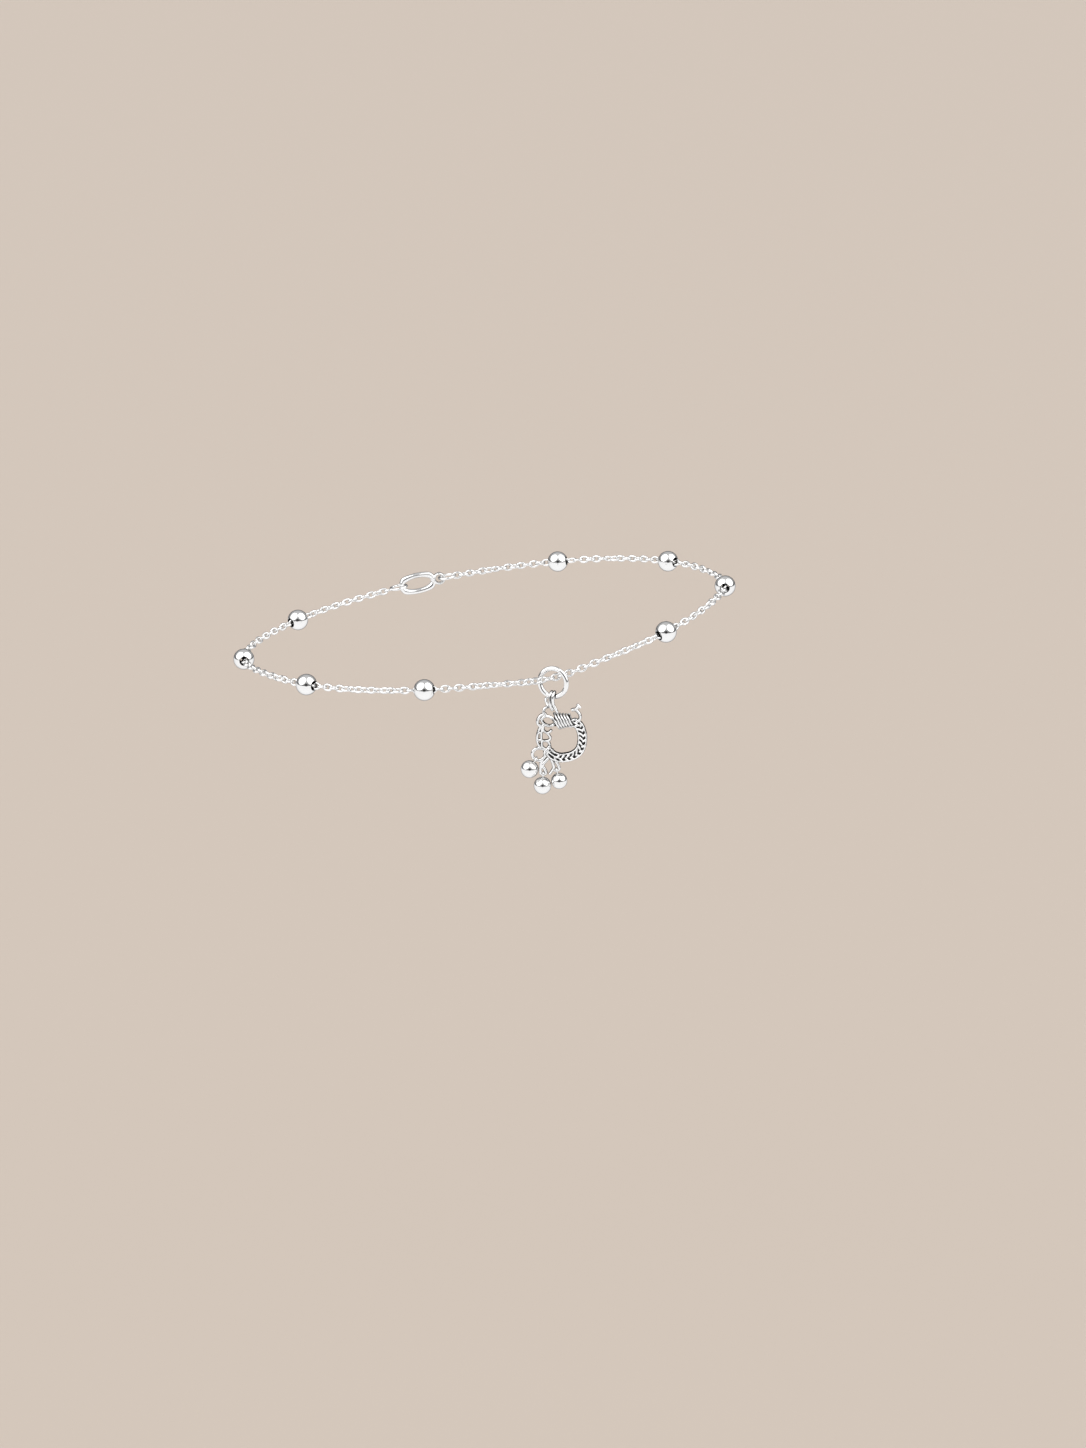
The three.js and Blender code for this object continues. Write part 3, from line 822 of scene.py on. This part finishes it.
def bandFrame(curve, reach, offset):
    # Turned so that X runs along the band and Z inwards, from right to left underneath
    tangent = curve.tangent(reach)
    outward = Vector((-tangent.z, 0, tangent.x))
    turn = math.atan2(-tangent.z, tangent.x)
    place = curve.at(reach) + offset * outward
    return Matrix.Translation(place) @ Matrix.Rotation(turn, 4, "Y")


def roundedEnds(share):
    # How thick a bar is along its length: full in the middle, a little thinner at both ends
    return math.sqrt(max(0.3, 1 - abs(2 * share - 1) ** 5))


def addBand(bm, setup):
    curve = Route([hoopPoint(*p) for p in bandLine])
    castWire(bm, bandLine, setup["bandWidth"], setup["bandThickness"])
    for side in (-1, 1):
        edge = [bandFrame(curve, curve.length * (i + 1) / setup["edgePlaces"],
                          side * setup["bandEdge"]).translation
                for i in range(setup["edgePlaces"])]
        castWire(bm, edge, setup["edgeWidth"], setup["edgeThickness"])
    bar = wireMesh([(-0.5, 0, 0), (0, 0, 0), (0.5, 0, 0)], chevronBar["width"], sides=12,
                   stepLength=chevronBar["stepLength"], taper=roundedEnds)
    dice = random.Random(setup["seed"])
    placeWander, slantWander = chevronBar["placeWander"], chevronBar["slantWander"]
    count = int(setup["chevronEnd"] * curve.length / setup["chevronPitch"])
    for row in chevronRows:
        size = Matrix.Diagonal((row["length"], chevronBar["thickness"] / chevronBar["width"],
                                1, 1))
        for i in range(count):
            reach = i + row["start"] + dice.uniform(-placeWander, placeWander)
            reach *= setup["chevronPitch"]
            slant = math.radians(row["slant"] + dice.uniform(-slantWander, slantWander))
            here = bandFrame(curve, reach, row["offset"]) @ Matrix.Rotation(slant, 4, "Y")
            addMesh(bm, bar, here @ size)
    print("band", round(curve.length, 2), "mm long with", count, "chevrons")


def addCurlCap(bm, setup):
    cap = bmesh.new()
    bmesh.ops.create_cone(cap, cap_ends=True, segments=24, radius1=setup["base"],
                          radius2=setup["top"], depth=setup["length"])
    turn = Matrix.Rotation(math.radians(90 + setup["tilt"]), 4, "Y")
    addMesh(bm, meshOf(cap, "cap"), Matrix.Translation(hoopPoint(*setup["place"])) @ turn)


def makeHoop(setup):
    bm = bmesh.new()
    addBand(bm, setup)
    core = [hoopPoint(*p) for p in coreSetup["line"]]
    thin = coreSetup["right"] / coreSetup["left"]
    addMesh(bm, wireMesh(core, 2 * coreSetup["left"], sides=24,
                         taper=lambda share: 1 + share * (thin - 1)))
    for line in openworkLines:
        castWire(bm, line, setup["openworkWire"], setup["openworkThickness"])
    for line in rosetteLines + curlLines:
        castWire(bm, line, setup["rosetteWire"], setup["openworkThickness"])
    for line in bandEndLines:
        castWire(bm, line, setup["edgeWidth"], setup["edgeThickness"])
    for loop in dropLoops:
        addMesh(bm, wireMesh(loopLine(loop), setup["dropLoopWire"], sides=12))
    addCurlCap(bm, curlCap)
    bm = fuse(bm, setup["voxel"])
    piece = finishPiece("charmHoop", bm, ringCentre, "hoop", "charm", oxidised)
    hollow = hollowness(piece, setup["hollowRounds"], setup["hollowDepth"])
    # Inside the coil the hoop is blackened outright, as oxide and painted shade; its sides get
    # painted shade and its hollows oxide
    share, radius, distance = coilReach(piece)
    insideCoil = (distance < radius - bailSetup["coilWire"] / 2) & (share > -0.1) & (share < 1)
    setHollow(piece, np.where(insideCoil, 1.0, np.maximum(hollow, flanks(piece))))
    print("hoop made with", len(piece.data.vertices), "vertices")


makeHoop(hoopSetup)

# Ball drops, each with its soldered eye

ballSetup = {"eyeRadius": 0.5, "eyeWire": 0.3, "eyeGap": 0.19}


def makeBalls(setup):
    for loop in dropLoops:
        down = hangDirection(loop)
        reach = hoopSetup["dropLoopWire"] / 2 + setup["eyeGap"] + loop["diameter"] / 2
        held = hoopPoint(*loop["bottom"])
        bm = bmesh.new()
        addMesh(bm, ballMesh(loop["diameter"], 56), Matrix.Translation(held + reach * down))
        stand = Matrix.Rotation(math.radians(90 - loop["hang"]), 4, "Y")
        eye = ringMesh(setup["eyeRadius"], setup["eyeWire"], 28, 12)
        addMesh(bm, eye, Matrix.Translation(held) @ stand)
        name = "drop" + loop["node"].split("_")[1].title()
        finishPiece(name, bm, ringCentre, loop["node"], "charm", polished)
    print("ball drops made")


makeBalls(ballSetup)

# Studio: a flat pale floor, a pale backdrop dome and soft lights

studioSetup = {
    "floorHeight": -0.135,
    "floorRadius": 4.2,
    "floorColour": (0.49, 0.42, 0.36),
    "floorRoughness": 0.8,
    "backdropRadius": 4.0,
    "backdropColour": (0.655, 0.562, 0.482),
    "cardColour": (0.01, 0.01, 0.01),
}
# What the silver mirrors: brightness by height, from straight down (-1) to straight up (1)
mirroredRoom = [(-1.0, 1.1), (-0.07, 1.05), (-0.02, 0.1), (0.03, 0.08), (0.16, 0.34), (0.8, 0.6)]
# Black cards that give the silver its dark edges: where they stand and how wide, in degrees
blackCards = [
    {"turn": 180.0, "height": -14.0, "inner": 10.0, "outer": 36.0, "strength": 0.8},
    {"turn": 0.0, "height": 8.0, "inner": 8.0, "outer": 22.0, "strength": 0.9},
]
# Two round soft lamps far away, as large discs: how far to the right, how high and how wide
softLamps = [
    {"name": "windowLeft", "turn": -64.0, "height": 42.0, "width": 78.0, "strength": 2.0},
    {"name": "windowRight", "turn": 70.0, "height": 42.0, "width": 76.0, "strength": 1.8},
]


def makeFloor(setup):
    bm = bmesh.new()
    bmesh.ops.create_circle(bm, cap_ends=True, segments=96, radius=setup["floorRadius"])
    bmesh.ops.translate(bm, vec=(0, 0, setup["floorHeight"]), verts=bm.verts)
    floor = bpy.data.objects.new("studioFloor", meshOf(bm, "studioFloor"))
    bpy.context.scene.collection.objects.link(floor)
    material, nodes, links, shader = newMaterial("studioPaper")
    shader.inputs["Roughness"].default_value = setup["floorRoughness"]
    shader.inputs["Base Color"].default_value = (*setup["floorColour"], 1)
    floor.data.materials.append(material)
    floor.visible_glossy = False  # the silver mirrors the room below instead


def makeBackdrop(setup):
    # A pale dome above the floor, which the lamps shine through and the silver doesn't mirror
    bm = bmesh.new()
    bmesh.ops.create_uvsphere(bm, u_segments=48, v_segments=24, radius=setup["backdropRadius"])
    dome = bpy.data.objects.new("studioBackdrop", meshOf(bm, "studioBackdrop"))
    bpy.context.scene.collection.objects.link(dome)
    material, nodes, links, shader = newMaterial("studioBackdrop")
    shader.inputs["Base Color"].default_value = (0, 0, 0, 1)
    shader.inputs["Specular IOR Level"].default_value = 0
    shader.inputs["Emission Color"].default_value = (*setup["backdropColour"], 1)
    shader.inputs["Emission Strength"].default_value = 1
    dome.data.materials.append(material)
    for ray in ("diffuse", "glossy", "transmission", "volume_scatter", "shadow"):
        setattr(dome, "visible_" + ray, False)


def addLamp(lamp):
    light = bpy.data.lights.new(lamp["name"], "SUN")
    light.angle = math.radians(lamp["width"])
    light.energy = lamp["strength"]
    place = towards(lamp["turn"], lamp["height"])
    holder = bpy.data.objects.new(lamp["name"], light)
    holder.location = place
    holder.rotation_euler = (-place).to_track_quat("-Z", "Y").to_euler()
    bpy.context.scene.collection.objects.link(holder)


def setWorld(levels, cards):
    # The room and the black cards, which only the silver sees
    world = bpy.data.worlds.new("studio")
    world.use_nodes = True
    nodes, links = world.node_tree.nodes, world.node_tree.links
    direction = addNode(nodes, "ShaderNodeTexCoord")
    split = addNode(nodes, "ShaderNodeSeparateXYZ")
    links.new(direction.outputs["Generated"], split.inputs["Vector"])
    height = addNode(nodes, "ShaderNodeMapRange", From_Min=-1.0, From_Max=1.0)
    links.new(split.outputs["Z"], height.inputs["Value"])
    room = addNode(nodes, "ShaderNodeValToRGB")
    stops = room.color_ramp.elements
    while len(stops) < len(levels):
        stops.new(0.5)
    for stop, (place, level) in zip(stops, levels):
        stop.position = (place + 1) / 2
        stop.color = (level, level, level * 1.01, 1)
    links.new(height.outputs["Result"], room.inputs["Fac"])
    light = room.outputs["Color"]
    for card in cards:
        nearness = addNode(nodes, "ShaderNodeVectorMath", operation="DOT_PRODUCT")
        nearness.inputs[1].default_value = towards(card["turn"], card["height"])
        links.new(direction.outputs["Generated"], nearness.inputs[0])
        soft = addNode(nodes, "ShaderNodeMapRange", interpolation_type="SMOOTHSTEP")
        soft.inputs["From Min"].default_value = math.cos(math.radians(card["outer"]))
        soft.inputs["From Max"].default_value = math.cos(math.radians(card["inner"]))
        soft.inputs["To Max"].default_value = card["strength"]
        links.new(nearness.outputs["Value"], soft.inputs["Value"])
        shade = addNode(nodes, "ShaderNodeMix", data_type="RGBA")
        shade.inputs[7].default_value = (*studioSetup["cardColour"], 1)
        links.new(soft.outputs["Result"], shade.inputs[0])
        links.new(light, shade.inputs[6])
        light = shade.outputs[2]
    links.new(light, nodes["Background"].inputs["Color"])
    bpy.context.scene.world = world


makeFloor(studioSetup)
makeBackdrop(studioSetup)
for lamp in softLamps:
    addLamp(lamp)
setWorld(mirroredRoom, blackCards)
bpy.context.scene.view_settings.view_transform = "Standard"
print("studio made")
